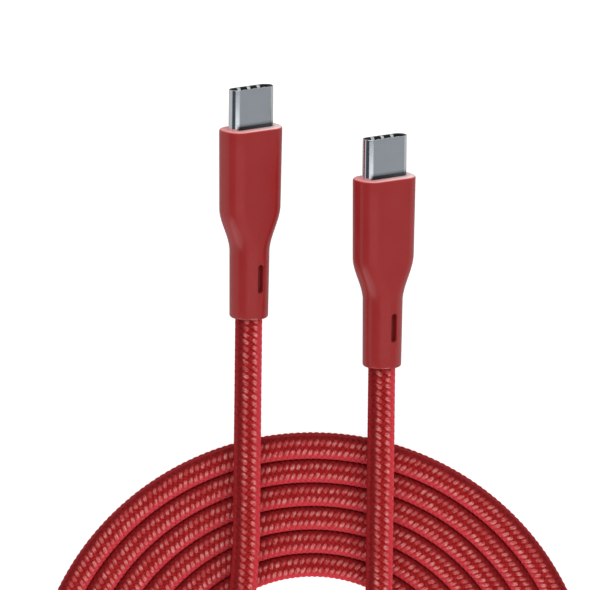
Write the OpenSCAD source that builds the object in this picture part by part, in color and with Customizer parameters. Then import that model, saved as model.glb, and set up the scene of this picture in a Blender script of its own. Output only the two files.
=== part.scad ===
// Braided charging cable with a reversible plug on each end, wound flat.
// Millimetres, +Z up. The origin lies on the surface that carries the cable, under the
// middle of its whole outline. Both plugs point along +Y, rolled about their own length.
// The cord leaves the left plug, runs over the turns into the eye of the coil, winds
// outwards, crosses back over the turns and ends in the right plug.

/* [Cord] */
// Diameter over the braid
cord_d = 3.9; // [3.6:0.1:4]
// Diameter of the core that is left when the braid and jacket are stripped
core_d = 3.1; // [2.8:0.1:3.3]

/* [Coil] */
// Turns that lie side by side across the top of the coil
turns = 6; // [4:1:7]
// Step from one turn to the next
turn_pitch = 3.95; // [3.9:0.05:4.3]
// Radius of the outermost turn, to the middle of the cord
coil_r = 44.05; // [42:0.05:48]
// Radius at which the inner end starts in the eye of the coil
eye_r = 18; // [15:0.5:20]
// Distance of the coil's centre behind the origin
coil_back = 30.3; // [28:0.1:31]

/* [Plug positions] */
// Left plug: middle of the moulding's front face, to the right of the origin
left_plug_x = -11.1; // [-14:0.1:-8]
// Left plug: front face ahead of the origin
left_plug_y = 67.2; // [60:0.1:74]
// Right plug: middle of the moulding's front face, to the right of the origin
right_plug_x = 10.6; // [8:0.1:14]
// Right plug: front face ahead of the origin
right_plug_y = 59.3; // [54:0.1:70]
// Roll of both plugs about their own length
plug_roll = 37; // [20:1:50]

/* [Plug shell] */
// Width of the metal shell
shell_w = 8.34; // [8.2:0.01:8.4]
// Thickness of the metal shell
shell_t = 2.56; // [2.5:0.01:2.6]
// Wall of the metal shell
shell_wall = 0.2; // [0.15:0.05:0.25]
// Length of the shell that stands out of the moulding
shell_out = 6.6; // [6:0.05:6.8]
// Length of the shell behind the moulding's front face
shell_in = 3.6; // [3.2:0.1:3.8]

/* [Moulding] */
// Soft wall on each narrow side of the inner moulding
side_wall = 0.65; // [0.4:0.05:0.8]
// Soft wall on each broad face of the inner moulding
face_wall = 0.75; // [0.6:0.05:1]
// How much further the front face reaches on each narrow side
side_flare = 0.15; // [0:0.05:0.6]
// How much further the front face reaches on each broad face
face_flare = 0.05; // [0:0.05:0.3]
// Corner radius of the body
body_corner = 2.6; // [2:0.1:2.8]
// Length of the body
body_l = 13.1; // [12.2:0.1:14]
// Length of the shoulder between body and neck
shoulder_l = 7.4; // [6:0.1:9]
// Length of the neck
neck_l = 10.9; // [9:0.1:14]
// Wall of the neck on the cord where it meets the shoulder
neck_wall = 1.3; // [1:0.05:1.4]
// How much thinner that wall is at the tail
neck_taper = 0.1; // [0:0.05:0.3]
// Rounding of the front rim and of the tail
edge_r = 0.35; // [0.2:0.05:0.5]
// Thickness of the front wall
front_wall = 1; // [0.8:0.1:1.2]
// Length of each bend relief slot
slot_l = 4.8; // [3.5:0.1:6]
// Width of each bend relief slot
slot_w = 0.9; // [0.6:0.1:1.2]
// Depth of each bend relief slot
slot_depth = 0.85; // [0.5:0.05:0.9]
// Distance of the slots from the tail
slot_from_tail = 4.4; // [2.5:0.1:5]

/* [Inner moulding] */
// Wall of the hard inner moulding on each narrow side of the can
inner_side = 0.28; // [0.2:0.02:0.4]
// Its wall over the crimp ring
inner_face = 0.15; // [0.15:0.05:0.3]
// Wall of its tail on the cord
inner_tail_wall = 0.5; // [0.4:0.05:0.6]
// Length of its tail beyond the crimp
inner_tail_l = 1.8; // [1:0.1:2.5]

/* [Insulators] */
// Distance of the front insulator behind the shell's mouth
nose_recess = 0.1; // [0.1:0.05:0.4]
// Length of the front insulator
nose_l = 7.8; // [7.4:0.1:8.2]
// Length of the rear insulator
rear_l = 2.5; // [2.3:0.1:2.8]
// Insulator on each side of the space for the mating tongue
tongue_side = 0.57; // [0.54:0.01:0.6]
// Height of the space for the mating tongue
tongue_h = 1; // [0.9:0.05:1.1]
// How far the space flares above and below at the mouth, to lead the tongue in
flare = 0.3; // [0.2:0.05:0.35]
// Length of the flare
flare_l = 0.6; // [0.5:0.1:0.7]
// Depth of the space for the mating tongue
tongue_l = 5.8; // [5.6:0.1:6]

/* [Contacts] */
// Pitch of the contact places
contact_pitch = 0.5; // [0.48:0.01:0.5]
// Width of a contact
contact_w = 0.22; // [0.2:0.01:0.28]
// Thickness of a contact
contact_t = 0.15; // [0.12:0.01:0.18]
// Distance of the contacts' tips behind the insulator's front face
contact_recess = 1.8; // [1.6:0.1:2.2]
// How far a contact's spring bump stands into the tongue space
contact_bump = 0.2; // [0.15:0.05:0.25]
// Length of the contact tails on the board
tail_l = 0.9; // [0.7:0.1:1.2]

/* [Latch and ground springs] */
// Thickness of the middle plate
plate_t = 0.15; // [0.1:0.05:0.2]
// Thickness of a latch arm
arm_t = 0.2; // [0.15:0.05:0.2]
// Height of a latch arm
arm_h = 0.6; // [0.5:0.1:0.8]
// Distance of the arms' tips behind the insulator's front face
arm_recess = 1; // [0.8:0.1:1.5]
// Reach of a latch arm's hook into the tongue space
hook = 0.35; // [0.25:0.05:0.45]
// Distance of the roots of arms and springs ahead of the insulator's back
root = 0.5; // [0.3:0.1:0.8]
// Thickness of a ground spring
spring_t = 0.12; // [0.1:0.01:0.14]
// How much narrower a ground spring is than the tongue space on each side
spring_side = 0.7; // [0.5:0.1:0.9]
// Distance of a spring's plate behind the insulator's front face
spring_recess = 1.7; // [1.5:0.1:2]
// Width of one of the three spring fingers
finger_w = 0.6; // [0.5:0.1:1]
// Distance of the outer fingers from the edge of the spring
finger_edge = 0.45; // [0.2:0.05:0.5]

/* [Circuit board] */
// Room on each side of the board inside the line of the shell
board_side = 0.27; // [0.2:0.01:0.4]
// Length of the board
board_l = 5.6; // [5.4:0.1:6]
// Thickness of the board
board_t = 0.6; // [0.5:0.1:0.7]
// Distance of the outer capacitors from the side of the board
capacitor_edge = 1.3; // [1:0.1:1.6]
// Side of the identity chip
chip_w = 2; // [1.5:0.1:2.2]
// Height of the identity chip
chip_h = 0.55; // [0.4:0.05:0.7]
// Diameter of the power and ground wires
power_d = 0.8; // [0.6:0.05:0.8]
// Diameter of the data and signal wires
data_d = 0.5; // [0.4:0.05:0.5]

/* [Shield can and crimp] */
// Thickness of the sheet of the shield can
can_wall = 0.2; // [0.15:0.05:0.25]
// Overlap of the can on the shell
can_grip = 1.2; // [0.8:0.1:1.4]
// Room between the board and the can's rear wall
can_room = 2; // [1.8:0.1:2.4]
// Length of the crimp tail
crimp_l = 3; // [2.6:0.1:3.4]
// Length of the crimp ring
ring_l = 2; // [1.5:0.1:2.4]
// Wall of the crimp ring
ring_wall = 0.3; // [0.2:0.05:0.35]

/* [Hidden] */
PIECES = [
    "overmold", "inner_mold", "shell", "front_insulator", "rear_insulator",
    "upper_contacts", "lower_contacts", "latch_plate", "upper_ground_spring",
    "lower_ground_spring", "circuit_board", "identity_chip", "board_capacitors",
    "upper_can", "lower_can", "crimp_ring", "cord_end", "power_wire", "ground_wire",
    "data_wires", "signal_wire"
];

$fn = 48;

// Colours
MOULDED_RED = "#9a3434";
BRAID_RED = "#b01e22";
HARD_WHITE = "#e6e0d4";
STEEL = "#9aa0a8";
GOLD = "#c9a24a";

// The route from the left plug to the coil, then from the coil to the right plug: across,
// ahead, and how far the cord is lifted, from 0 on the floor to 1 on top of the turns.
LEFT_ROUTE = [
    [-11.1, 32.5, 0.67], [-11.1, 28.2, 0.72], [-11.1, 23.2, 0.86], [-11.1, 18.7, 0.96],
    [-11.1, 13.7, 1], [-11.1, 8.7, 1], [-11.1, 3.7, 1], [-11.1, -1.3, 1], [-11.3, -5.8, 1],
    [-11.8, -10.6, 0.98], [-13.5, -15.3, 0.73], [-16, -20.1, 0.32], [-18.1, -24.9, 0.04],
    [-18.8, -28.9, 0]
];
RIGHT_ROUTE = [
    [-25.4, -67.2, 0.36], [-17.7, -70.3, 0.88], [-9.3, -70.5, 1], [-1.2, -67.6, 1],
    [5.2, -62, 1], [9.3, -54.5, 1], [10.5, -49.1, 0.97], [10.6, -44.6, 0.7],
    [10.6, -40.5, 0.27], [10.6, -36.7, 0.03], [10.6, -32.3, 0], [10.6, -27.3, 0],
    [10.6, -22.8, 0.09], [10.6, -18.3, 0.39], [10.6, -14.3, 0.74], [10.6, -10.3, 0.96],
    [10.6, -5.3, 1], [10.6, 0.7, 1], [10.6, 6.7, 1], [10.6, 12.7, 1], [10.6, 17.7, 0.92],
    [10.6, 21.7, 0.75], [10.6, 24.7, 0.67]
];
// Room between a lifted cord and the turns below it
RIDE_GAP = 0.05;
// Room round a part that moves in the plug, and how far a cutter runs past what it cuts
PLAY = 0.1;
OVERCUT = 1;
// Sides of a lead's tube and of a wire
LEAD_SIDES = 8;
WIRE_SIDES = 8;

// Coil: every turn keeps its radius over the top and steps out by one pitch underneath
COIL_RINGS = 24;
STEP_FROM = 200;
STEP_OVER = 140;
COIL_OVERRUN = 20;
coil_from = STEP_FROM;
coil_to = STEP_FROM + 360 * turns + COIL_OVERRUN;
coil_centre = [0, -coil_back];

// Plug stations, behind (-) or ahead (+) of the moulding's front face
plug_l = body_l + shoulder_l + neck_l;
nose_front = shell_out - nose_recess;
nose_back = nose_front - nose_l;
rear_back = nose_back - rear_l;
tongue_back = nose_front - tongue_l;
flare_back = nose_front - flare_l;
board_back = rear_back - board_l;
can_front = can_grip - shell_in;
can_back = board_back - can_room - can_wall;
core_front = can_back + can_wall;
crimp_back = can_back - crimp_l;
ring_back = crimp_back + (crimp_l - ring_l) / 2 - 0.1;
strip_back = crimp_back - 0.4;
inner_back = strip_back - inner_tail_l;
root_front = nose_back + root;
arm_front = nose_front - arm_recess;
spring_front = nose_front - spring_recess;
contact_tip = nose_front - contact_recess;
pad_front = rear_back - 0.5;
pad_back = pad_front - tail_l;

// Plug sections, from the shell and the cord outwards
bore_w = shell_w - 2 * shell_wall;
bore_t = shell_t - 2 * shell_wall;
can_w = shell_w + 2 * can_wall;
can_t = shell_t + 2 * can_wall;
crimp_r = core_d / 2 + can_wall;
crimp_ring_r = crimp_r + ring_wall;
inner_w = can_w + 2 * inner_side;
inner_t = max(can_t, 2 * crimp_ring_r) + 2 * inner_face;
inner_tail_d = cord_d + 2 * inner_tail_wall;
waist_w = inner_w + 2 * side_wall;
waist_t = inner_t + 2 * face_wall;
body_w = waist_w + 2 * side_flare;
body_t = waist_t + 2 * face_flare;
neck_d = cord_d + 2 * neck_wall;
neck_end_d = neck_d - 2 * neck_taper;
plug_axis_z = (body_w / 2 - body_corner) * sin(plug_roll)
    + (body_t / 2 - body_corner) * cos(plug_roll) + body_corner;

// Inside the shell
tongue_w = bore_w - 2 * tongue_side;
contact_z = tongue_h / 2;
arm_x = tongue_w / 2 + 0.05;
arm_span = 2 * (arm_x + arm_t);
spring_w = tongue_w - 2 * spring_side;
finger_pitch = (spring_w - finger_w) / 2 - finger_edge;
board_w = bore_w - 2 * board_side;
board_z = board_t / 2;

// Contact places in use, in steps from the middle: power, ground, data and identification
UPPER_PLACES = [-5.5, -2.5, -1.5, -0.5, 0.5, 2.5, 5.5];
LOWER_PLACES = [-5.5, -2.5, 1.5, 2.5, 5.5];
FINGERS = [-1, 0, 1];

// Wires: across and up where they leave the core, across on the board, side of the board
POWER_WIRE = [-0.55, 0.45, -2.6, 1];
GROUND_WIRE = [0.55, 0.45, 2.6, 1];
DATA_WIRES = [[-0.55, -0.5, -1.7, -1], [0, -0.65, -0.5, -1]];
SIGNAL_WIRE = [0.55, -0.5, 1.7, -1];

// ---------- shared functions ----------

function unit(v) = v / norm(v);
function mix(a, b, k) = a + (b - a) * k;
function ease(k) = k * k * (3 - 2 * k);

// Closed skin over rings of equal size, which run anticlockwise seen along the sweep
function skin_points(rings) = [for (ring = rings) each ring];
function skin_faces(count, n) = concat(
    [for (j = [1 : n - 2]) [0, j + 1, j]],
    [for (i = [0 : count - 2], j = [0 : n - 1], half = [0, 1])
        let (a = i * n + j, b = i * n + (j + 1) % n)
            half == 0 ? [a, b, b + n] : [a, b + n, a + n]],
    [for (j = [1 : n - 2]) [(count - 1) * n, (count - 1) * n + j, (count - 1) * n + j + 1]]
);

module skin(rings) {
    polyhedron(skin_points(rings), skin_faces(len(rings), len(rings[0])), convexity = 6);
}

// ---------- cord ----------

// Height of the cord's middle for a lift from 0 to 1
function cord_z(lift) = cord_d / 2 + lift * (cord_d + RIDE_GAP);
function lifted(route) = [for (p = route) [p[0], p[1], cord_z(p[2])]];

// A ring of the section, square to the direction that the cord runs in
function cord_ring(p, along, section) =
    let (side = unit(cross(along, [0, 0, 1])), up = cross(side, along))
        [for (q = section) p + q[0] * side + q[1] * up];

function cord_rings(points, first, last, section) =
    let (end = len(points) - 1)
        [for (i = [0 : end])
            let (along = i == 0 ? first : i == end ? last
                    : unit(points[i + 1] - points[i - 1]))
                cord_ring(points[i], along, section)];

function round_section(d, sides) = [for (i = [0 : sides - 1])
    let (a = (i + 0.5) * 360 / sides) d / 2 * [cos(a), sin(a)]];

// Six sides with a corner on top, so that neighbouring turns face each other with flats.
// The bottom corner would reach a tenth of the diameter below the floor and is cut flat.
flank = cord_d / 2 * cos(30);
bottom_flat = flank * 0.3;
coil_section = [
    [flank, -cord_d * 0.27], [flank, cord_d / 4], [0, cord_d / 2], [-flank, cord_d / 4],
    [-flank, -cord_d * 0.27], [-bottom_flat, -cord_d / 2], [bottom_flat, -cord_d / 2]
];

function turn_r(n) = n < 0 ? eye_r : coil_r - (turns - 1 - n) * turn_pitch;
function coil_radius(a) =
    let (n = floor((a - STEP_FROM) / 360), past = a - STEP_FROM - 360 * n)
        past < STEP_OVER ? mix(turn_r(n - 1), turn_r(n), ease(past / STEP_OVER)) : turn_r(n);
function coil_point(a) = [
    coil_centre[0] + coil_radius(a) * cos(a),
    coil_centre[1] + coil_radius(a) * sin(a),
    cord_d / 2
];
function heading(a) = [-sin(a), cos(a), 0];

// Both ends run straight for one diameter
coil_start = coil_point(coil_from) - cord_d * heading(coil_from);
coil_end = coil_point(coil_to) + cord_d * heading(coil_to);
coil_steps = ceil((coil_to - coil_from) * COIL_RINGS / 360);
coil_path = concat(
    [coil_start],
    [for (i = [0 : coil_steps]) coil_point(mix(coil_from, coil_to, i / coil_steps))],
    [coil_end]
);

function plug_tail(x, y) = [x, y - plug_l, plug_axis_z];

// Least distance from a ring to the rings of the next turn, measured on their points
function ring_gap(rings, i) = min([
    for (j = [i + COIL_RINGS - 2 : min(i + COIL_RINGS + 2, len(rings) - 1)],
            p = rings[i], q = rings[j]) norm(p - q)
]);

module coil() {
    rings = cord_rings(coil_path, heading(coil_from), heading(coil_to), coil_section);
    least_gap = min([for (i = [0 : len(rings) - COIL_RINGS]) ring_gap(rings, i)]);
    echo(least_gap_of_the_coil_to_itself = least_gap);
    color(BRAID_RED) skin(rings);
}

module left_lead() {
    path = concat([plug_tail(left_plug_x, left_plug_y)], lifted(LEFT_ROUTE), [coil_start]);
    color(BRAID_RED)
        skin(cord_rings(path, [0, -1, 0], heading(coil_from), round_section(cord_d, LEAD_SIDES)));
}

module right_lead() {
    path = concat([coil_end], lifted(RIGHT_ROUTE), [plug_tail(right_plug_x, right_plug_y)]);
    color(BRAID_RED)
        skin(cord_rings(path, heading(coil_to), [0, 1, 0], round_section(cord_d, LEAD_SIDES)));
}

// ---------- plug helpers ----------

// Draws a section in the XZ plane from station y0 forward to station y1
module along_y(y0, y1) {
    translate([0, y1, 0]) rotate([90, 0, 0]) linear_extrude(y1 - y0) children();
}

// Draws a side view, with its X along the plug, through a width
module across_x(width) {
    rotate([90, 0, 90]) linear_extrude(width, center = true) children();
}

// A flat bar with round edges
module stadium(w, t) {
    square([w - t, t], center = true);
    for (side = [-1, 1]) translate([side * (w - t) / 2, 0]) circle(d = t);
}

module lower_side(side) {
    if (side < 0) mirror([0, 0, 1]) children();
    else children();
}

// Places a plug's pieces on the floor
module at_left() {
    translate([left_plug_x, left_plug_y, plug_axis_z]) rotate([0, plug_roll, 0]) children();
}

module at_right() {
    translate([right_plug_x, right_plug_y, plug_axis_z]) rotate([0, plug_roll, 0]) children();
}

// ---------- mouldings ----------

MOULD_POINTS = 52;
INNER_POINTS = 28;
SHOULDER_STEPS = 10;

// A rounded oblong of n points at station y, a circle where w, t and 2 r are equal
function oblong(y, w, t, r, n) = [for (i = [0 : n - 1])
    let (a = (i + 0.5) * 360 / n)
        [sign(cos(a)) * (w / 2 - r) + r * cos(a), y, sign(sin(a)) * (t / 2 - r) + r * sin(a)]];

// Width, thickness and corner radius of the moulding at station y
function mould_size(y) =
    y < -body_l - shoulder_l
        ? let (d = mix(neck_end_d, neck_d, (y + plug_l) / neck_l)) [d, d, d / 2]
    : y < -body_l
        ? let (k = ease((y + body_l + shoulder_l) / shoulder_l))
            mix([neck_d, neck_d, neck_d / 2], [waist_w, waist_t, body_corner], k)
    : mix([waist_w, waist_t, body_corner], [body_w, body_t, body_corner], (y + body_l) / body_l);

// How far an edge rounded by edge_r has drawn in at this depth from the end face
function edge_inset(depth) =
    depth >= edge_r ? 0 : edge_r - sqrt(edge_r * edge_r - pow(edge_r - depth, 2));

mould_stations = concat(
    [for (k = [0, 0.12, 0.4, 1]) k * edge_r - plug_l],
    [for (k = [0 : SHOULDER_STEPS]) mix(-body_l - shoulder_l, -body_l, k / SHOULDER_STEPS)],
    [-body_l / 2],
    [for (k = [1, 0.4, 0.12, 0]) -k * edge_r]
);

module mould_body() {
    skin([for (y = mould_stations)
        let (s = mould_size(y), in = edge_inset(min(-y, y + plug_l)))
            oblong(y, s[0] - 2 * in, s[1] - 2 * in, s[2] - in, MOULD_POINTS)]);
}

// The hard moulding grips the shell, encloses can and crimp and tapers onto the cord
module inner_body() {
    corner = inner_t / 2 - 0.1;
    skin([
        oblong(inner_back, inner_tail_d, inner_tail_d, inner_tail_d / 2, INNER_POINTS),
        oblong(ring_back, inner_w * 0.72, inner_t, inner_t / 2, INNER_POINTS),
        oblong(can_back - 0.4, inner_w, inner_t, corner, INNER_POINTS),
        oblong(-front_wall, inner_w, inner_t, corner, INNER_POINTS)
    ]);
}

module relief_slots() {
    for (side = [-1, 1])
        lower_side(side)
            translate([0, slot_from_tail + slot_l / 2 - plug_l, neck_d / 2 - slot_depth])
                rotate([0, 0, 90]) linear_extrude(slot_depth + OVERCUT)
                    stadium(slot_l, slot_w);
}

module overmold() {
    color(MOULDED_RED) difference() {
        mould_body();
        inner_body();
        along_y(-front_wall - PLAY, OVERCUT) stadium(shell_w, shell_t);
        along_y(-plug_l - OVERCUT, inner_back + PLAY) circle(d = cord_d);
        relief_slots();
    }
}

module inner_mold() {
    color(HARD_WHITE) difference() {
        inner_body();
        along_y(can_front - PLAY, 0) stadium(shell_w, shell_t);
        along_y(can_back, can_front) stadium(can_w, can_t);
        along_y(crimp_back, can_back + PLAY) circle(r = crimp_r);
        along_y(ring_back, ring_back + ring_l) circle(r = crimp_ring_r);
        along_y(strip_back, crimp_back + PLAY) circle(d = core_d);
        along_y(inner_back - OVERCUT, strip_back) circle(d = cord_d);
    }
}

// ---------- shell and insulators ----------

module shell() {
    color(STEEL) along_y(-shell_in, shell_out) difference() {
        stadium(shell_w, shell_t);
        stadium(bore_w, bore_t);
    }
}

module contact_places(places) {
    for (k = places) translate([k * contact_pitch, 0, 0]) children();
}

// A tunnel with a contact's own section, along a whole row
module contact_tunnels(y0, y1) {
    for (side = [-1, 1])
        lower_side(side)
            contact_places(side > 0 ? UPPER_PLACES : LOWER_PLACES)
                along_y(y0, y1) translate([0, contact_z + contact_t / 2])
                    square([contact_w, contact_t], center = true);
}

// Open for the tongue and flared at the mouth, with tunnels for the contacts, slots for the
// latch arms and windows through which the fingers of the ground springs reach the tongue
module front_insulator() {
    window_front = nose_front - 0.2;
    window_l = 1.5;
    arm_room = arm_front + 2 * PLAY;
    edge = tongue_h / 2;
    color("#22252a") difference() {
        along_y(nose_back, nose_front) stadium(bore_w, bore_t);
        along_y(tongue_back, nose_front + OVERCUT) square([tongue_w, tongue_h], center = true);
        across_x(tongue_w) polygon([
            [flare_back, -edge], [nose_front, -edge - flare], [nose_front + OVERCUT, -edge - flare],
            [nose_front + OVERCUT, edge + flare], [nose_front, edge + flare], [flare_back, edge]
        ]);
        contact_tunnels(nose_back - OVERCUT, contact_tip + 4 * PLAY);
        for (side = [-1, 1])
            along_y(nose_back - OVERCUT, arm_room) translate([side * (arm_x + arm_t / 2), 0])
                square([arm_t, arm_h], center = true);
        along_y(tongue_back, arm_room) square([2 * arm_x + PLAY, arm_h], center = true);
        along_y(nose_back - OVERCUT, tongue_back + 0.5)
            square([arm_span, plate_t], center = true);
        for (side = [-1, 1]) lower_side(side) {
            along_y(root_front, nose_front + OVERCUT)
                translate([0, bore_t / 2]) square([spring_w, 2 * spring_t], center = true);
            for (k = FINGERS)
                along_y(window_front - window_l, window_front)
                    translate([k * finger_pitch, bore_t / 2])
                        square([finger_w + PLAY, bore_t - tongue_h + PLAY], center = true);
        }
    }
}

module rear_insulator() {
    color("#e8e4da") difference() {
        along_y(rear_back, nose_back) stadium(bore_w, bore_t);
        contact_tunnels(rear_back - OVERCUT, nose_back + OVERCUT);
        along_y(rear_back - OVERCUT, nose_back + OVERCUT)
            square([arm_span, plate_t], center = true);
    }
}

// ---------- contacts, latch and springs ----------

// One contact, from its tail on the board to its spring bump in the tongue space
module contact() {
    line = [
        [pad_back, board_z], [pad_front, board_z], [rear_back, contact_z],
        [contact_tip - 1.3, contact_z], [contact_tip - 0.6, contact_z - contact_bump],
        [contact_tip, contact_z]
    ];
    across_x(contact_w)
        polygon(concat(line, [for (i = [len(line) - 1 : -1 : 0]) line[i] + [0, contact_t]]));
}

module upper_contacts() {
    color(GOLD) contact_places(UPPER_PLACES) contact();
}

module lower_contacts() {
    color(GOLD) mirror([0, 0, 1]) contact_places(LOWER_PLACES) contact();
}

// A middle plate with a sprung arm on each side, whose hook holds the mating tongue
module latch_plate() {
    hook_l = 1;
    color(STEEL) {
        along_y(rear_back, tongue_back) square([arm_span, plate_t], center = true);
        for (side = [-1, 1])
            translate([side * arm_x, 0, -arm_h / 2]) linear_extrude(arm_h)
                polygon([for (p = [
                    [arm_t, root_front], [arm_t, arm_front], [0, arm_front],
                    [-hook, arm_front - hook_l / 2], [0, arm_front - hook_l], [0, root_front]
                ]) [side * p[0], p[1]]]);
    }
}

// A thin plate between insulator and shell, with three fingers. Each dips into the space
// for the tongue and then lies on the flare of the mouth.
module ground_spring() {
    top = bore_t / 2;
    edge = tongue_h / 2;
    short = 0.05;
    along_y(root_front, spring_front)
        translate([0, top - spring_t / 2]) square([spring_w, spring_t], center = true);
    finger = [
        [spring_front, top], [spring_front + 0.5, top - 0.36], [flare_back - 0.2, edge],
        [flare_back, edge], [nose_front - short, edge + flare * (1 - short / flare_l)]
    ];
    for (k = FINGERS) translate([k * finger_pitch, 0, 0]) across_x(finger_w)
        polygon(concat(finger, [for (i = [len(finger) - 1 : -1 : 0]) finger[i] - [0, spring_t]]));
}

module upper_ground_spring() {
    color(STEEL) ground_spring();
}

module lower_ground_spring() {
    color(STEEL) mirror([0, 0, 1]) ground_spring();
}

// ---------- circuit board ----------

module circuit_board() {
    color("#1f6b3a") along_y(board_back, rear_back) square([board_w, board_t], center = true);
}

// A chip behind the upper contact tails, with a dimple over its first pin
module identity_chip() {
    dimple_d = 0.3;
    dimple_depth = 0.05;
    corner = chip_w / 2 - dimple_d;
    color("#202226") translate([0, pad_back - 0.2 - chip_w / 2, board_z]) difference() {
        linear_extrude(chip_h) square(chip_w, center = true);
        translate([corner, corner, chip_h - dimple_depth])
            cylinder(d = dimple_d, h = OVERCUT);
    }
}

module board_capacitors() {
    cap = [1, 0.5, 0.35];
    outer_x = board_w / 2 - capacitor_edge;
    color("#b59a72") for (side = [-1, 1])
        lower_side(side) for (x = side > 0 ? [-outer_x, outer_x] : [-outer_x, 0, outer_x])
            translate([x, pad_back - 0.6, board_z + cap[2] / 2]) cube(cap, center = true);
}

// ---------- shield can and crimp ----------

// The whole can with its crimp tail, cut in two halves by the board's plane
module can() {
    difference() {
        union() {
            along_y(can_back, can_front) stadium(can_w, can_t);
            along_y(crimp_back, can_back + PLAY) circle(r = crimp_r);
        }
        along_y(core_front, can_front + OVERCUT) stadium(shell_w, shell_t);
        along_y(crimp_back - OVERCUT, core_front + PLAY) circle(d = core_d);
    }
}

module upper_half() {
    intersection() {
        children();
        translate([-can_w, crimp_back - OVERCUT, 0])
            cube([2 * can_w, can_front - crimp_back + 2 * OVERCUT, can_t]);
    }
}

module upper_can() {
    color(STEEL) upper_half() can();
}

module lower_can() {
    color(STEEL) mirror([0, 0, 1]) upper_half() can();
}

module crimp_ring() {
    color(STEEL) along_y(ring_back, ring_back + ring_l) difference() {
        circle(r = crimp_ring_r);
        circle(r = crimp_r);
    }
}

// ---------- cord inside the plug ----------

module cord_end() {
    color(BRAID_RED) {
        along_y(-plug_l, strip_back) circle(d = cord_d);
        along_y(strip_back, core_front) circle(d = core_d);
    }
}

// A wire from the core's face to its pad on the board, with a flat side down on the board
module wire(w, d) {
    z = w[3] * (board_z + d / 2 * cos(180 / WIRE_SIDES));
    path = [
        [w[0], core_front, w[1]], [w[0], core_front + 0.3, w[1]],
        [w[2], board_back - 0.2, z], [w[2], board_back + 1.3, z]
    ];
    skin(cord_rings(path, [0, 1, 0], [0, 1, 0], round_section(d, WIRE_SIDES)));
}

module power_wire() {
    color("#c03030") wire(POWER_WIRE, power_d);
}

module ground_wire() {
    color("#202020") wire(GROUND_WIRE, power_d);
}

module data_wires() {
    color("#e8e8e8") for (w = DATA_WIRES) wire(w, data_d);
}

module signal_wire() {
    color("#3050a0") wire(SIGNAL_WIRE, data_d);
}

// ---------- nodes ----------

module piece(name) {
    if (name == "overmold") overmold();
    if (name == "inner_mold") inner_mold();
    if (name == "shell") shell();
    if (name == "front_insulator") front_insulator();
    if (name == "rear_insulator") rear_insulator();
    if (name == "upper_contacts") upper_contacts();
    if (name == "lower_contacts") lower_contacts();
    if (name == "latch_plate") latch_plate();
    if (name == "upper_ground_spring") upper_ground_spring();
    if (name == "lower_ground_spring") lower_ground_spring();
    if (name == "circuit_board") circuit_board();
    if (name == "identity_chip") identity_chip();
    if (name == "board_capacitors") board_capacitors();
    if (name == "upper_can") upper_can();
    if (name == "lower_can") lower_can();
    if (name == "crimp_ring") crimp_ring();
    if (name == "cord_end") cord_end();
    if (name == "power_wire") power_wire();
    if (name == "ground_wire") ground_wire();
    if (name == "data_wires") data_wires();
    if (name == "signal_wire") signal_wire();
}

for (name = PIECES) {
    at_left() piece(name);
    at_right() piece(name);
}
left_lead();
coil();
right_lead();
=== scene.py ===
import math

import bmesh
import bpy
import numpy as np
from mathutils import Matrix, Vector


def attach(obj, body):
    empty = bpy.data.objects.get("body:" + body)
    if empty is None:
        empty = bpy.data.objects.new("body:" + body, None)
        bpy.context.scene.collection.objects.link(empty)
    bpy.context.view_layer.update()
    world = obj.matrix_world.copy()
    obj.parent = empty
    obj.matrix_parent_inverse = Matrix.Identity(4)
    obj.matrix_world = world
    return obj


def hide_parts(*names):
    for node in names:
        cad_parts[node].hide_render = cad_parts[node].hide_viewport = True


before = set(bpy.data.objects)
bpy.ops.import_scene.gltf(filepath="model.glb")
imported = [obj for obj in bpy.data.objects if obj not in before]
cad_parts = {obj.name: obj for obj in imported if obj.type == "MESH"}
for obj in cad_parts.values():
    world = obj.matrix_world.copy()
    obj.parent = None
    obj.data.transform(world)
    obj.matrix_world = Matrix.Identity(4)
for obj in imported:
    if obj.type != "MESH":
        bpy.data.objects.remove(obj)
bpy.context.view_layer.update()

# ---------------------------------------------------------------------------------------
# Camera. It looks down on the lying cable from almost straight above, tipped so that it
# sees a little way into the mouths of the plugs. Sizes are written in millimetres, and MM
# turns them into metres.
# ---------------------------------------------------------------------------------------
MM = 0.001
CAMERA_DISTANCE = 2000
aim = Vector((-2.82, 38.44, 0)) * MM
tip, lean = math.radians(12.6), math.radians(0.66)
camera = bpy.data.objects.new("camera", bpy.data.cameras.new("camera"))
bpy.context.scene.collection.objects.link(camera)
camera.location = aim + CAMERA_DISTANCE * MM * Vector((0, math.sin(tip), math.cos(tip)))
turned = Matrix.Rotation(-tip, 3, "X") @ Matrix.Rotation(lean, 3, "Z")
camera.rotation_euler = turned.to_euler()
camera.data.sensor_width = 36
camera.data.lens = 737.8
camera.data.clip_start = 0.01
camera.data.clip_end = 5
bpy.context.scene.camera = camera
bpy.context.scene.view_settings.view_transform = "Standard"

# ---------------------------------------------------------------------------------------
# Studio. A white table in a pale room, with three square soft lamps low around it: the key
# and a wider fill beyond the coil, and one beyond the mouths of the plugs. Dark and light
# strips of the room are what the plated metal mirrors.
# ---------------------------------------------------------------------------------------
ROOM_LIGHT = 0.75
# The room's strips are placed by shares of a turn round the plugs' long axis, where 0.25 is
# level on the left, 0.5 straight up and 0.75 level on the right.
WALLS = [
    (0.25, (0.40, 0.42, 0.44)),
    (0.30, (0.62, 0.64, 0.66)),
    (0.325, (0.05, 0.065, 0.08)),
    (0.445, (0.05, 0.065, 0.08)),
    (0.475, (0.320, 0.345, 0.365)),
]
BRIGHT_FROM, BRIGHT_TO = (0.445, 0.475), (0.655, 0.60)
BRIGHT_BACK, BRIGHT_EDGE = 0.214, (0.032, 0.012)
BRIGHT_LIGHT = (1.40, 1.45, 1.49)
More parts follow.
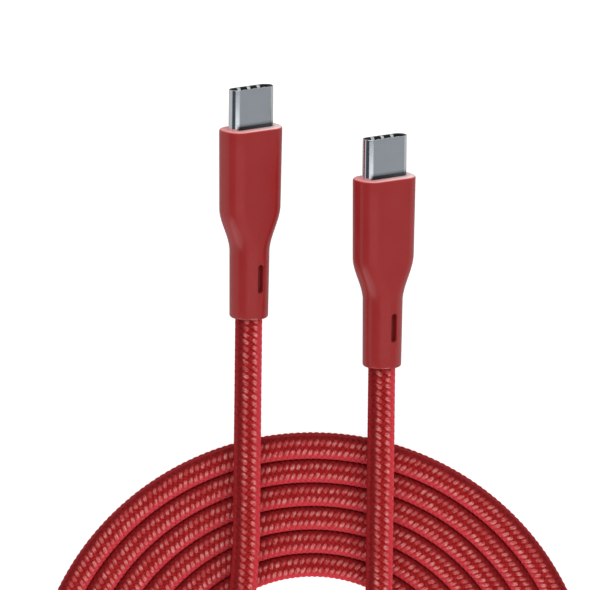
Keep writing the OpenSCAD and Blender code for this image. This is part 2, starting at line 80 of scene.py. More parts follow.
# The table reflects as grey paper does, and glows up to white for the camera alone.
TABLE_GREY = (0.55, 0.55, 0.55)
TABLE_SHOWN = 0.78


class Value:
    """One output of a material's nodes. Arithmetic on it adds Math nodes."""

    def __init__(self, graph, socket):
        self.graph = graph
        self.socket = socket

    def __add__(self, other):
        return self.graph.math("ADD", self, other)

    def __sub__(self, other):
        return self.graph.math("SUBTRACT", self, other)

    def __rsub__(self, other):
        return self.graph.math("SUBTRACT", other, self)

    def __mul__(self, other):
        return self.graph.math("MULTIPLY", self, other)

    def __truediv__(self, other):
        return self.graph.math("DIVIDE", self, other)

    __radd__ = __add__
    __rmul__ = __mul__


class Graph:
    """The nodes of one material or of the world."""

    def __init__(self, tree):
        self.tree = tree

    def node(self, kind, settings=None, sockets=None, output=0):
        """Adds a node, its settings first and then its sockets, and gives one output."""
        made = self.tree.nodes.new(kind)
        for name, value in (settings or {}).items():
            if name == "stops":
                ramp = made.color_ramp.elements
                while len(ramp) < len(value):
                    ramp.new(0.5)
                for stop, (place, colour) in zip(ramp, value):
                    stop.position = place
                    stop.color = (*colour, 1)
            else:
                setattr(made, name, value)
        for name, value in (sockets or {}).items():
            self.feed(made.inputs[name], value)
        return Value(self, made.outputs[output])

    def feed(self, socket, value):
        if isinstance(value, Value):
            self.tree.links.new(value.socket, socket)
        elif isinstance(value, (tuple, list)) and len(value) == 3 and socket.type == "RGBA":
            socket.default_value = (*value, 1)
        else:
            socket.default_value = value

    def math(self, operation, a, b=0.0):
        return self.node("ShaderNodeMath", {"operation": operation}, {0: a, 1: b})

    def noise(self, scale, detail=2, vector=None):
        """Noise between about 0.3 and 0.7, so many bumps to the metre."""
        sockets = {"Scale": scale, "Detail": detail, "Vector": vector or self.object_place()}
        return self.node("ShaderNodeTexNoise", None, sockets)

    def object_place(self):
        return self.node("ShaderNodeTexCoord", output="Object")

    def attribute(self, name):
        """A number that the mesh keeps for each of its points."""
        return self.node("ShaderNodeAttribute", {"attribute_name": name}, None, "Fac")

    def stretched(self, scale):
        """Object coordinates stretched along each axis, to draw a grain."""
        return self.node(
            "ShaderNodeMapping", None, {"Vector": self.object_place(), "Scale": scale}
        )

    def mix(self, factor, a, b):
        """Mix of two colours, whose sockets are 6, 7 and 2 of the node."""
        return self.node("ShaderNodeMix", {"data_type": "RGBA"}, {0: factor, 6: a, 7: b}, 2)

    def spread(self, value, low, high):
        """Noise taken to the full run from 0 to 1."""
        sockets = {"Value": value, "From Min": low, "From Max": high}
        return self.node("ShaderNodeMapRange", None, sockets)


class Finish(Graph):
    """A material round one Principled shader."""

    def __init__(self, name, **settings):
        self.material = bpy.data.materials.new(name)
        self.material.use_nodes = True
        super().__init__(self.material.node_tree)
        self.shader = self.tree.nodes["Principled BSDF"]
        self.set(**settings)

    def set(self, **settings):
        for name, value in settings.items():
            self.feed(self.shader.inputs[name.replace("_", " ")], value)

    def bump(self, height, distance, strength):
        bumped = self.node(
            "ShaderNodeBump", None, {"Height": height, "Distance": distance, "Strength": strength}
        )
        self.set(Normal=bumped)


world = bpy.data.worlds.new("room")
bpy.context.scene.world = world
world.use_nodes = True
room = Graph(world.node_tree)
way = room.node("ShaderNodeTexCoord", output="Generated")
to_right = room.node("ShaderNodeSeparateXYZ", None, {"Vector": way}, "X")
to_mouths = room.node("ShaderNodeSeparateXYZ", None, {"Vector": way}, "Y")
to_top = room.node("ShaderNodeSeparateXYZ", None, {"Vector": way}, "Z")
round_axis = room.math("ARCTAN2", to_right, to_top) / (2 * math.pi) + 0.5
walls = room.node("ShaderNodeValToRGB", {"stops": WALLS}, {"Fac": round_axis})
bright = room.spread(round_axis, *BRIGHT_FROM) * room.spread(round_axis, *BRIGHT_TO)
bright = bright * room.spread(room.math("ABSOLUTE", to_mouths + BRIGHT_BACK), *BRIGHT_EDGE)
walls = room.mix(bright, walls, BRIGHT_LIGHT)
to_camera = room.node("ShaderNodeLightPath", output="Is Camera Ray")
mirrored = room.node("ShaderNodeLightPath", output="Is Glossy Ray")
through = room.node("ShaderNodeLightPath", output="Is Transmission Ray")
background = world.node_tree.nodes["Background"]
room.feed(background.inputs["Color"], room.mix(mirrored, (1.0, 1.0, 1.0), walls))
seen = {"Value": to_camera + mirrored + through, "To Min": ROOM_LIGHT}
room.feed(background.inputs["Strength"], room.node("ShaderNodeMapRange", None, seen))


def lamp(name, place, size, power):
    """A square soft lamp that faces the cable."""
    made = bpy.data.objects.new(name, bpy.data.lights.new(name, "AREA"))
    made.data.size = size
    made.data.energy = power
    made.location = place
    made.rotation_euler = (aim - made.location).to_track_quat("-Z", "Y").to_euler()
    bpy.context.scene.collection.objects.link(made)


lamp("key", Vector((0.40, -0.95, 0.42)), 0.6, 4.5)
lamp("fill", Vector((-0.55, -0.90, 0.36)), 0.9, 2.2)
lamp("back", Vector((0.05, 0.64, 0.20)), 0.6, 2.2)

bpy.ops.mesh.primitive_plane_add(size=4)
table = bpy.context.object
table.name = "table"
paper = Finish("white_paper", Base_Color=TABLE_GREY, Roughness=0.9)
plain = Value(paper, paper.shader.outputs[0])
glow = paper.node("ShaderNodeEmission", None, {"Color": (1.0, 1.0, 1.0), "Strength": TABLE_SHOWN})
lit = paper.node("ShaderNodeAddShader", None, {0: plain, 1: glow})
to_camera = paper.node("ShaderNodeLightPath", output="Is Camera Ray")
shown = paper.node("ShaderNodeMixShader", None, {0: to_camera, 1: plain, 2: lit})
paper.feed(paper.tree.nodes["Material Output"].inputs["Surface"], shown)
table.data.materials.append(paper.material)

# ---------------------------------------------------------------------------------------
# Cord. A core of conductors in a thin jacket, under a braid of sixteen nylon yarns, eight
# each way, every yarn over one and under the next. It runs from the left plug over the
# turns into the eye of the coil, winds outwards and crosses back to the right plug.
# ---------------------------------------------------------------------------------------
# STEP_ and OVERRUN are angles of the coil in degrees. Points of a route are x, y and the
# lift, where 1 is one cord riding on another.
CORD_D = 3.9
RIDE_GAP = 0.05
TURNS = 6
TURN_PITCH = 3.95
COIL_R = 44.05
EYE_R = 18.0
COIL_BACK = 30.3
STEP_FROM, STEP_OVER, OVERRUN = 200.0, 140.0, 20.0
KNOT_ANGLE = 5
LEFT_FRONT = Vector((-11.1, 67.2, 0))
RIGHT_FRONT = Vector((10.6, 59.3, 0))
PLUG_L = 31.4
PLUG_AXIS_Z = 4.6346
CORD_STEP = 0.5
LINE_POINTS = 16
LEFT_ROUTE = [
    (-11.1, 32.5, 0.67), (-11.1, 28.2, 0.72), (-11.1, 23.2, 0.86), (-11.1, 18.7, 0.96),
    (-11.1, 13.7, 1), (-11.1, 8.7, 1), (-11.1, 3.7, 1), (-11.1, -1.3, 1), (-11.3, -5.8, 1),
    (-11.8, -10.6, 0.98), (-13.5, -15.3, 0.73), (-16, -20.1, 0.32), (-18.1, -24.9, 0.04),
    (-18.8, -28.9, 0),
]
RIGHT_ROUTE = [
    (-25.4, -67.2, 0.36), (-17.7, -70.3, 0.88), (-9.3, -70.5, 1), (-1.2, -67.6, 1),
    (5.2, -62, 1), (9.3, -54.5, 1), (10.5, -49.1, 0.97), (10.6, -44.6, 0.7),
    (10.6, -40.5, 0.27), (10.6, -36.7, 0.03), (10.6, -32.3, 0), (10.6, -27.3, 0),
    (10.6, -22.8, 0.09), (10.6, -18.3, 0.39), (10.6, -14.3, 0.74), (10.6, -10.3, 0.96),
    (10.6, -5.3, 1), (10.6, 0.7, 1), (10.6, 6.7, 1), (10.6, 12.7, 1), (10.6, 17.7, 0.92),
    (10.6, 21.7, 0.75), (10.6, 24.7, 0.67),
]


def lifted(route):
    return [(x, y, CORD_D / 2 + lift * (CORD_D + RIDE_GAP)) for x, y, lift in route]


def turn_radius(turn):
    return EYE_R if turn < 0 else COIL_R - (TURNS - 1 - turn) * TURN_PITCH


def coil_point(angle):
    """Each turn keeps its radius over the top and steps out by one pitch underneath."""
    turn = math.floor((angle - STEP_FROM) / 360)
    k = min((angle - STEP_FROM - 360 * turn) / STEP_OVER, 1)
    k = k * k * (3 - 2 * k)
    radius = turn_radius(turn - 1) * (1 - k) + turn_radius(turn) * k
    a = math.radians(angle)
    return np.array([radius * math.cos(a), radius * math.sin(a) - COIL_BACK, CORD_D / 2])


def heading(angle):
    a = math.radians(angle)
    return np.array([-math.sin(a), math.cos(a), 0.0])


last_angle = STEP_FROM + 360 * TURNS + OVERRUN
turn_points = [coil_point(a) for a in np.arange(STEP_FROM, last_angle + 1, KNOT_ANGLE)]
left_tail = LEFT_FRONT + Vector((0, -PLUG_L, PLUG_AXIS_Z))
right_tail = RIGHT_FRONT + Vector((0, -PLUG_L, PLUG_AXIS_Z))
knots = np.array(
    [tuple(left_tail)]
    + lifted(LEFT_ROUTE)
    + [turn_points[0] - CORD_D * heading(STEP_FROM)]
    + turn_points
    + [turn_points[-1] + CORD_D * heading(last_angle)]
    + lifted(RIGHT_ROUTE)
    + [tuple(right_tail)]
)


def smooth_line(points, first, last, step):
    """A curve through the points from one direction to another, cut into even steps."""
    gaps = np.linalg.norm(np.diff(points, axis=0), axis=1)[:, None]
    slopes = np.diff(points, axis=0) / gaps
    slope = np.vstack(
        [first, (slopes[1:] * gaps[:-1] + slopes[:-1] * gaps[1:]) / (gaps[1:] + gaps[:-1]), last]
    )
    k = np.linspace(0, 1, LINE_POINTS, endpoint=False)[None, :, None]
    a, b, g = points[:-1, None], points[1:, None], gaps[:, None]
    line = (
        (2 * k**3 - 3 * k**2 + 1) * a
        + (k**3 - 2 * k**2 + k) * g * slope[:-1, None]
        + (3 * k**2 - 2 * k**3) * b
        + (k**3 - k**2) * g * slope[1:, None]
    ).reshape(-1, 3)
    line = np.vstack([line, points[-1]])
    run = np.concatenate([[0], np.cumsum(np.linalg.norm(np.diff(line, axis=0), axis=1))])
    even = np.linspace(0, run[-1], int(run[-1] / step) + 1)
    return np.stack([np.interp(even, run, line[:, i]) for i in range(3)], axis=1), even


centre, along = smooth_line(knots, (0, -1, 0), (0, 1, 0), CORD_STEP)
cord_length = float(along[-1])
tangent = np.gradient(centre, axis=0)
tangent /= np.linalg.norm(tangent, axis=1)[:, None]
side = np.cross(tangent, (0, 0, 1))
side /= np.linalg.norm(side, axis=1)[:, None]
up = np.cross(side, tangent)


def on_cord(distance, turn, radius):
    """Points in metres at a distance along the cord, an angle round it and a radius."""
    def at(line):
        return np.stack([np.interp(distance, along, line[:, i]) for i in range(3)], axis=-1)

    outward = at(side) * np.cos(turn)[..., None] + at(up) * np.sin(turn)[..., None]
    points = at(centre) + outward * radius[..., None]
    points[..., 2] = np.maximum(points[..., 2], 0)
    return points * MM


def mesh_piece(name, points, faces, finish, uv=None, tone=None):
    """A smooth mesh object on the root body from arrays of points and four-sided faces."""
    mesh = bpy.data.meshes.new(name)
    mesh.vertices.add(len(points))
    mesh.vertices.foreach_set("co", np.asarray(points, np.float32).ravel())
    mesh.loops.add(faces.size)
    mesh.loops.foreach_set("vertex_index", faces.astype(np.int32).ravel())
    mesh.polygons.add(len(faces))
    mesh.polygons.foreach_set("loop_start", np.arange(len(faces), dtype=np.int32) * 4)
    if uv is not None:
        layer = mesh.uv_layers.new(name="weave")
        layer.data.foreach_set("uv", uv[faces.ravel()].astype(np.float32).ravel())
    # Which side of the cord is painted in shade and which in light.
    if tone is not None:
        shade = mesh.attributes.new("dye_side", "FLOAT", "POINT")
        shade.data.foreach_set("value", tone.astype(np.float32).ravel())
    mesh.update(calc_edges=True)
    mesh.shade_smooth()
    mesh.materials.append(finish.material)
    made = bpy.data.objects.new(name, mesh)
    bpy.context.scene.collection.objects.link(made)
    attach(made, "root")
    return made


# Where a lead goes over into the coil, measured from its own end of the cord: the nearer and
# the further end of the change.
LEFT_CHANGE = (58, 98)
RIGHT_CHANGE = (70, 190)
LEAD_FULL, COIL_SQUARE = 0.115, 0.20


def ease(k):
    return k * k * (3 - 2 * k)


def past_left(distance):
    """From 0 on the left lead to 1 on the coil."""
    near, far = LEFT_CHANGE
    return ease(np.clip((distance - near) / (far - near), 0, 1))


def past_coil(distance):
    """From 0 on the coil to 1 on the right lead."""
    near, far = RIGHT_CHANGE
    return ease(np.clip((distance - cord_length + far) / (far - near), 0, 1))


def on_lead(distance):
    """1 along the two leads, 0 on the coil."""
    return 1 - past_left(distance) + past_coil(distance)


def fullness(distance, turn):
    """The braid lies full on the leads; on the coil the turns press it slightly square."""
    lead = on_lead(distance)
    return 1 + LEAD_FULL * lead + COIL_SQUARE * (1 - lead) * np.sin(2 * turn) ** 2


# Jacket under the braid, a plain tube that shows only between the yarns.
JACKET_R = 1.86
SPOKES = 14
jacket_finish = Finish("jacket_shade", Roughness=0.8)
jacket_finish.set(
    Base_Color=jacket_finish.mix(
        jacket_finish.spread(jacket_finish.noise(900), 0.35, 0.65),
        (0.32, 0.013, 0.015),
        (0.40, 0.018, 0.020),
    )
)
rings = np.linspace(0, cord_length, int(cord_length) + 1)
round_turn = np.linspace(0, 2 * math.pi, SPOKES, endpoint=False)
grid_s, grid_turn = np.meshgrid(rings, round_turn, indexing="ij")
tube = on_cord(grid_s, grid_turn, JACKET_R * fullness(grid_s, grid_turn)).reshape(-1, 3)
ring_no, spoke = np.meshgrid(np.arange(len(rings) - 1), np.arange(SPOKES), indexing="ij")
low, high = ring_no * SPOKES + spoke, ring_no * SPOKES + (spoke + 1) % SPOKES
skin = np.stack([low, low + SPOKES, high + SPOKES, high], axis=-1).reshape(-1, 4)
cord = mesh_piece("cord", tube, skin, jacket_finish)
ends = bmesh.new()
ends.from_mesh(cord.data)
bmesh.ops.holes_fill(ends, edges=[e for e in ends.edges if e.is_boundary], sides=SPOKES)
bmesh.ops.recalc_face_normals(ends, faces=ends.faces)
ends.to_mesh(cord.data)
ends.free()

# Braid. A yarn shows where it passes over, as a slanted crowned lozenge whose ends dive
# under its neighbours. Yarns of one hand make every second row of lozenges.
PICK = 0.98
LEAD_PICK = 1.16
YARNS = 8
COLUMN = math.pi / YARNS
SLANT = 0.34
YARN_REACH, YARN_HALF_W, YARN_NARROWING = 0.8, 0.48, 0.22
CROWN_R = 1.97
WAVE = 0.05
YARN_CROWN = 0.10
YARN_POINTS = 5
SWAY = -13.1
TWIST, LEFT_TWIST, RIGHT_TWIST = -12.7, -0.6, -19
pick_at = PICK + (LEAD_PICK - PICK) * on_lead(along)
picks_to = np.concatenate([[0], np.cumsum(np.diff(along) * 2 / (pick_at[1:] + pick_at[:-1]))])
picks = round(float(picks_to[-1]))
picks_to *= picks / picks_to[-1]


def roll_of(distance):
    """How far the cord has rolled over, which goes to and fro in every turn."""
    return np.radians(SWAY) * np.interp(distance, along, side[:, 1])


def lay_angle(distance):
    """How far round the cord the columns of yarn stand, which twist a little on the way."""
    twist = TWIST + LEFT_TWIST * past_left(distance) + RIGHT_TWIST * past_coil(distance)
    return np.radians(twist) + roll_of(distance)


def dye_side(distance, turn):
    """1 on the side painted in shade and -1 on the side painted in light, which change over where
    the coil ends.
    """
    return np.cos(turn - roll_of(distance)) * (1 - 2 * past_coil(distance))


# The bands of painted light and shade round the cord, from 1 on its shaded side to -1 on
# its lit side: where each begins and where it is full.
PAINTED_LIGHT_BAND = (0.1, -0.5)
PAINTED_GLOW_BAND, PAINTED_RIM_BAND = (-0.4, -0.8), (-0.8, -0.96)
PAINTED_SHADE_BAND, PAINTED_SHADE_RIM = (0.24, 0.50), (0.70, 0.84)
PAINTED_GLOW_RED = (0.70, 0.052, 0.070)


def yarn_finish(name, edge, dark, light, bright, pale):
    """Nylon yarn in red filaments: a painted highlight along the top of each float, painted shade
    at its ends, painted light on the cord's bright side and painted shade on its dark side.
    """
    made = Finish(name, Roughness=0.6, Specular_IOR_Level=0.06)
    place = made.node("ShaderNodeTexCoord", output="UV")
    along_yarn = made.node("ShaderNodeSeparateXYZ", None, {"Vector": place}, "X")
    across_yarn = made.node("ShaderNodeSeparateXYZ", None, {"Vector": place}, "Y")
    hump = along_yarn * (1 - along_yarn) * across_yarn * (1 - across_yarn) * 16
    uneven = made.spread(made.noise(1700, 3), 0.3, 0.7)
    strands = made.math("SINE", across_yarn * 15 + uneven * 5)
    # A painted highlight along the top of each float, and painted shade at its ends in the edge
    # colour.
    crown_sheen = made.spread(hump + uneven + 0.28 * strands, 0.85, 1.95)
    worn_dye = made.spread(made.noise(700, 3), 0.38, 0.62)
    shaded_side = made.attribute("dye_side")
    # Towards the cord's bright side the colour is painted lighter, a painted light.
    lit_tint = made.mix(made.spread(shaded_side, *PAINTED_LIGHT_BAND) * 0.5, made.mix(worn_dye, dark, light), bright)
    colour = made.mix(crown_sheen, edge, lit_tint)
    # A painted glow on the bright side, less on the lighter float tops, and more painted light at
    # its far edge by the groove between turns.
    painted_glow = made.spread(shaded_side, *PAINTED_GLOW_BAND) * (1 - crown_sheen * pale) * 0.8
    colour = made.mix(painted_glow, colour, PAINTED_GLOW_RED)
    colour = made.mix(made.spread(shaded_side, *PAINTED_RIM_BAND) * 0.7, colour, PAINTED_GLOW_RED)
    # Painted shade on the dark side, lighter towards its far rim, a painted light against the
    # shade that falls in the groove between turns.
    shade = made.mix(uneven, (0.15, 0.006, 0.008), (0.25, 0.011, 0.013))
    shade = made.mix(made.spread(shaded_side, *PAINTED_SHADE_RIM), shade, (0.33, 0.015, 0.018))
    colour = made.mix(made.spread(shaded_side, *PAINTED_SHADE_BAND) * 0.95, colour, shade)
    made.set(Base_Color=colour)
    lines = made.node(
        "ShaderNodeTexWave",
        {"bands_direction": "Y"},
        {"Vector": place, "Scale": 1.6, "Distortion": 0.6, "Detail": 1.0},
    )
    made.bump(lines, 0.00002, 0.6)
    return made


# This hand's floats are painted lighter, a painted sheen. The first colour, at the float ends, is
# a painted shade, and the fourth, on the cord's bright side, a painted light.
pale_yarn = yarn_finish(
    "pale_yarn",
    (0.40, 0.026, 0.028),
    (0.44, 0.08, 0.08),
    (0.66, 0.29, 0.26),
    (0.86, 0.38, 0.36),
    0.8,
)
# The other hand's floats are deep. Their first colour, at the float ends, is a painted shade, and
# the fourth, on the bright side, a painted light.
deep_yarn = yarn_finish(
    "deep_yarn",
    (0.25, 0.006, 0.008),
    (0.35, 0.013, 0.013),
    (0.44, 0.020, 0.020),
    (0.44, 0.022, 0.024),
    0.0,
)


def braid_pieces(name, hand, finish):
    """All lozenges of one hand, in two pieces."""
    u = np.linspace(-1, 1, YARN_POINTS)
    u, v = np.meshgrid(u, u, indexing="ij")
    reach = YARN_REACH * u
    d_turn = hand * reach * COLUMN
    d_row = reach * SLANT + v * YARN_HALF_W * (1 - YARN_NARROWING * u * u)
    radius = CROWN_R + WAVE * np.cos(math.pi * reach) - YARN_CROWN * v * v
    low = np.arange(YARN_POINTS - 1)[:, None] * YARN_POINTS + np.arange(YARN_POINTS - 1)
    high = low + YARN_POINTS
    patch = np.stack([low, low + 1, high + 1, high], axis=-1).reshape(-1, 4)
    if hand < 0:
        patch = patch[:, ::-1]
    uv = np.stack([(u + 1) / 2, (v + 1) / 2], axis=-1).reshape(-1, 2)
    start = 0.25 if hand > 0 else 0.75
    made = []
    half = picks // 2
    for number, (first, last) in enumerate(((0, half), (half, picks))):
        row = np.arange(first, last) + start
        column = np.arange(YARNS) * 2 * COLUMN + (0 if hand > 0 else COLUMN)
        row, column = np.meshgrid(row, column, indexing="ij")
        row, column = row.reshape(-1, 1, 1), column.reshape(-1, 1, 1)
        s = np.interp(row + d_row[None], np.clip(picks_to, 0, picks), along)
        turn = column + d_turn[None] + lay_angle(s)
        points = on_cord(s, turn, radius[None] * fullness(s, turn)).reshape(-1, 3)
        count = len(row)
        faces = (np.arange(count)[:, None, None] * YARN_POINTS**2 + patch[None]).reshape(-1, 4)
        made.append(
            mesh_piece(
                f"{name}_{number + 1}",
                points,
                faces,
                finish,
                np.tile(uv, (count, 1)),
                # the side painted in shade and the side painted in light
                dye_side(s, turn),
            )
        )
    return made


braid = braid_pieces("braid_right_hand", 1, pale_yarn) + braid_pieces(
    "braid_left_hand", -1, deep_yarn
)
[tuple(p) for p in (centre[::4] * MM).tolist()] + [tuple((centre[-1] * MM).tolist())]
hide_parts("left_lead", "coil", "right_lead")

# ---------------------------------------------------------------------------------------
# Grips. Soft red elastomer in one shot over the hard inner moulding and the cord: a flat
# body, a shoulder, and a slim neck with a bend relief slot in each broad face. The rim round
# the shell is painted lighter, a painted highlight, and the slots are painted darker inside,
# a painted shade.
# ---------------------------------------------------------------------------------------
ROLL = math.radians(37)
BODY_L, SHOULDER_L, NECK_L = 13.1, 7.4, 10.9
BODY = (10.9, 6.0, 2.6)
WAIST = (10.6, 5.9, 2.6)
NECK_D, NECK_END_D = 6.5, 6.3
EDGE_R = 0.35
FRONT_WALL = 1.0
SHELL_W, SHELL_T, SHELL_WALL = 8.34, 2.56, 0.2
SHELL_OUT, SHELL_IN = 6.6, 3.6
INNER_W, INNER_T, INNER_TAIL_D = 9.3, 4.4, 4.9
CAN_BACK, RING_BACK, INNER_BACK = -11.6, -14.2, -16.8
SLOT_L, SLOT_W, SLOT_DEPTH, SLOT_FROM_TAIL = 4.8, 0.9, 0.85, 4.4
SLOT_DRAFT = 0.5
SLOT_SOFT_EDGE = 0.06
SHELL_FIT = 0.02
RING_POINTS = 112
END_POINTS = 12
# The least angles between faces that make a crease in the shading, and a rim to be rounded.
CREASE, SLOT_CREASE, SLOT_RIM = math.radians(40), math.radians(45), math.radians(50)


def blend(a, b, k):
    return tuple(p + (q - p) * k for p, q in zip(a, b))


def oblong(y, w, t, r):
    """A ring of points of a rounded oblong across the plug, a circle where w = t = 2 r."""
    ring = []
    for i in range(RING_POINTS):
        a = 2 * math.pi * (i + 0.5) / RING_POINTS
        x = math.copysign(w / 2 - r, math.cos(a)) + r * math.cos(a)
        z = math.copysign(t / 2 - r, math.sin(a)) + r * math.sin(a)
        ring.append(Vector((x, y, z)))
    return ring


def grip_size(y):
    if y < -BODY_L - SHOULDER_L:
        d = NECK_END_D + (NECK_D - NECK_END_D) * (y + PLUG_L) / NECK_L
        return d, d, d / 2
    if y < -BODY_L:
        k = ease((y + BODY_L + SHOULDER_L) / SHOULDER_L)
        return blend((NECK_D, NECK_D, NECK_D / 2), WAIST, k)
    return blend(WAIST, BODY, (y + BODY_L) / BODY_L)


def edge_inset(depth):
    return 0 if depth >= EDGE_R else EDGE_R - math.sqrt(EDGE_R**2 - (EDGE_R - depth) ** 2)


def lathe_rings(rings):
    """A closed skin over rings of points, each ring extruded from the one before it."""
    made = bmesh.new()
    bmesh.ops.create_circle(made, segments=RING_POINTS, radius=1)
    made.verts.ensure_lookup_table()
    for vert, place in zip(made.verts, rings[0]):
        vert.co = place
    first = list(made.edges)
    edges = first
    for ring in rings[1:]:
        grown = bmesh.ops.extrude_edge_only(made, edges=edges)["geom"]
        verts = [g for g in grown if isinstance(g, bmesh.types.BMVert)]
        edges = [
            g for g in grown
            if isinstance(g, bmesh.types.BMEdge) and all(v in set(verts) for v in g.verts)
        ]
        for vert, place in zip(verts, ring):
            vert.co = place
    bmesh.ops.bridge_loops(made, edges=first + edges)
    bmesh.ops.recalc_face_normals(made, faces=made.faces)
    return made


grip_finish = Finish("soft_red_moulding", Specular_IOR_Level=0.5)
cloud = grip_finish.spread(grip_finish.noise(260, 3), 0.35, 0.65)
# A painted highlight on the rim round the shell, strongest on the right.
front_edge = grip_finish.attribute("front_edge")
grip_red = grip_finish.mix(cloud, (0.309, 0.0172, 0.0172), (0.319, 0.0186, 0.0186))
# Painted shade inside the bend relief slots.
in_slot = grip_finish.attribute("in_slot")
grip_red = grip_finish.mix(in_slot * 0.8, grip_red, (0.12, 0.005, 0.005))
grip_finish.set(
    Base_Color=grip_finish.mix(
        grip_finish.spread(front_edge, 0.0, 0.3),
        grip_red,
        grip_finish.mix(front_edge, (0.84, 0.10, 0.11), (1.0, 0.78, 0.76)),
    ),
    Roughness=0.21 + 0.05 * cloud,
)
grip_finish.bump(grip_finish.noise(9000, 3), 0.00002, 0.5)


def place_plug(plug_mesh, front):
    """Turns a mesh that is built along a plug's own axis into its place on the table."""
    c, s = math.cos(ROLL), math.sin(ROLL)
    for vert in plug_mesh.verts:
        x, y, z = vert.co
        vert.co = Vector((
            front.x + x * c + z * s,
            front.y + y,
            PLUG_AXIS_Z - x * s + z * c,
        )) * MM


def piece_from(made, name, finish):
    mesh = bpy.data.meshes.new(name)
    made.to_mesh(mesh)
    made.free()
    mesh.shade_smooth()
    mesh.set_sharp_from_angle(angle=CREASE)
    mesh.materials.append(finish.material)
    piece = bpy.data.objects.new(name, mesh)
    bpy.context.scene.collection.objects.link(piece)
    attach(piece, "root")
    return piece


def apply_modifiers(piece):
    """Turns a piece's modifiers into its mesh."""
    view = bpy.context.evaluated_depsgraph_get()
    view.update()
    done = bpy.data.meshes.new_from_object(piece.evaluated_get(view), depsgraph=view)
    piece.modifiers.clear()
    piece.data = done


def grip_rings():
    """The grip's outside from its tail to its front, then the hollow back to the tail."""
    # The rings stand closer where the skin curves, at both ends and along the shoulder.
    rounding = (0, 0.06, 0.2, 0.45, 1)
    stations = [k * EDGE_R - PLUG_L for k in rounding]
    stations += [-PLUG_L + 2 + i * (NECK_L - 3) / 6 for i in range(7)]
    stations += [-BODY_L - SHOULDER_L + SHOULDER_L * i / 24 for i in range(25)]
    stations += [-BODY_L * 0.75, -BODY_L / 2, -BODY_L / 4]
    stations += [-k * EDGE_R for k in rounding[::-1]]
    rings = []
    for y in stations:
        w, t, r = grip_size(y)
        inset = edge_inset(min(-y, y + PLUG_L))
        rings.append(oblong(y, w - 2 * inset, t - 2 * inset, r - inset))
    shell = (SHELL_W + SHELL_FIT, SHELL_T + SHELL_FIT, (SHELL_T + SHELL_FIT) / 2)
    corner = INNER_T / 2 - 0.1
    rings += [
        oblong(0, *shell),
        oblong(-FRONT_WALL, *shell),
        oblong(-FRONT_WALL, INNER_W, INNER_T, corner),
        oblong(CAN_BACK - 0.4, INNER_W, INNER_T, corner),
        oblong(RING_BACK, INNER_W * 0.72, INNER_T, INNER_T / 2),
        oblong(INNER_BACK, INNER_TAIL_D, INNER_TAIL_D, INNER_TAIL_D / 2),
        oblong(INNER_BACK, CORD_D, CORD_D, CORD_D / 2),
        oblong(-PLUG_L, CORD_D, CORD_D, CORD_D / 2),
    ]
    return rings


def slot_cutter():
    """Two round-ended bars that cut the bend relief slots."""
    made = bmesh.new()
    for face in (-1, 1):
        outline = []
        for end in (1, -1):
            for i in range(END_POINTS + 1):
                a = math.pi * i / END_POINTS + (0 if end > 0 else math.pi)
                outline.append((
                    SLOT_W / 2 * math.cos(a),
                    end * (SLOT_L - SLOT_W) / 2 + SLOT_W / 2 * math.sin(a),
                ))
        y = SLOT_FROM_TAIL + SLOT_L / 2 - PLUG_L
        bottom = face * (NECK_D / 2 - SLOT_DEPTH)
        floor = made.faces.new([made.verts.new((px, y + py, bottom)) for px, py in outline])
        top = bmesh.ops.extrude_face_region(made, geom=[floor])["geom"]
        for vert in top:
            if isinstance(vert, bmesh.types.BMVert):
                vert.co.x *= 1 + SLOT_DRAFT
                vert.co.z += face * (SLOT_DEPTH + 1)
    bmesh.ops.recalc_face_normals(made, faces=made.faces)
    return made


def make_grip(which, front):
    made = lathe_rings(grip_rings())
    place_plug(made, front)
    piece = piece_from(made, f"{which}_grip", grip_finish)
    bars = slot_cutter()
    place_plug(bars, front)
    cutter_mesh = bpy.data.meshes.new("cutter")
    bars.to_mesh(cutter_mesh)
    bars.free()
    cutter = bpy.data.objects.new("cutter", cutter_mesh)
    bpy.context.scene.collection.objects.link(cutter)
    cut = piece.modifiers.new("slots", "BOOLEAN")
    cut.operation, cut.solver, cut.object = "DIFFERENCE", "EXACT", cutter
    soften = piece.modifiers.new("soft_edges", "BEVEL")
    soften.width, soften.segments = SLOT_SOFT_EDGE * MM, 2
    soften.limit_method, soften.angle_limit = "ANGLE", SLOT_RIM
    apply_modifiers(piece)
    bpy.data.objects.remove(cutter)
    piece.data.shade_smooth()
    piece.data.set_sharp_from_angle(angle=SLOT_CREASE)
    across, station, above = np.array(
        [
            (v.co.x / MM - front.x, v.co.y / MM - front.y, v.co.z / MM - PLUG_AXIS_Z)
            for v in piece.data.vertices
        ]
    ).T
    # A painted highlight at the front edge, most on the right, and painted shade inside the
    # slots.
    rim_highlight = np.clip(1 + station / (EDGE_R / 2), 0, 1) * np.clip(0.62 + across / 12, 0.3, 1)
    edge = piece.data.attributes.new("front_edge", "FLOAT", "POINT")
    edge.data.foreach_set("value", rim_highlight.astype(np.float32))
    slot_shade = np.clip((NECK_D / 2 - 0.15 - np.hypot(across, above)) / 0.4, 0, 1)
    slot_shade *= station < -BODY_L - SHOULDER_L
    floor = piece.data.attributes.new("in_slot", "FLOAT", "POINT")
    floor.data.foreach_set("value", slot_shade.astype(np.float32))
    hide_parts(f"{which}_overmold")


make_grip("left", LEFT_FRONT)
make_grip("right", RIGHT_FRONT)

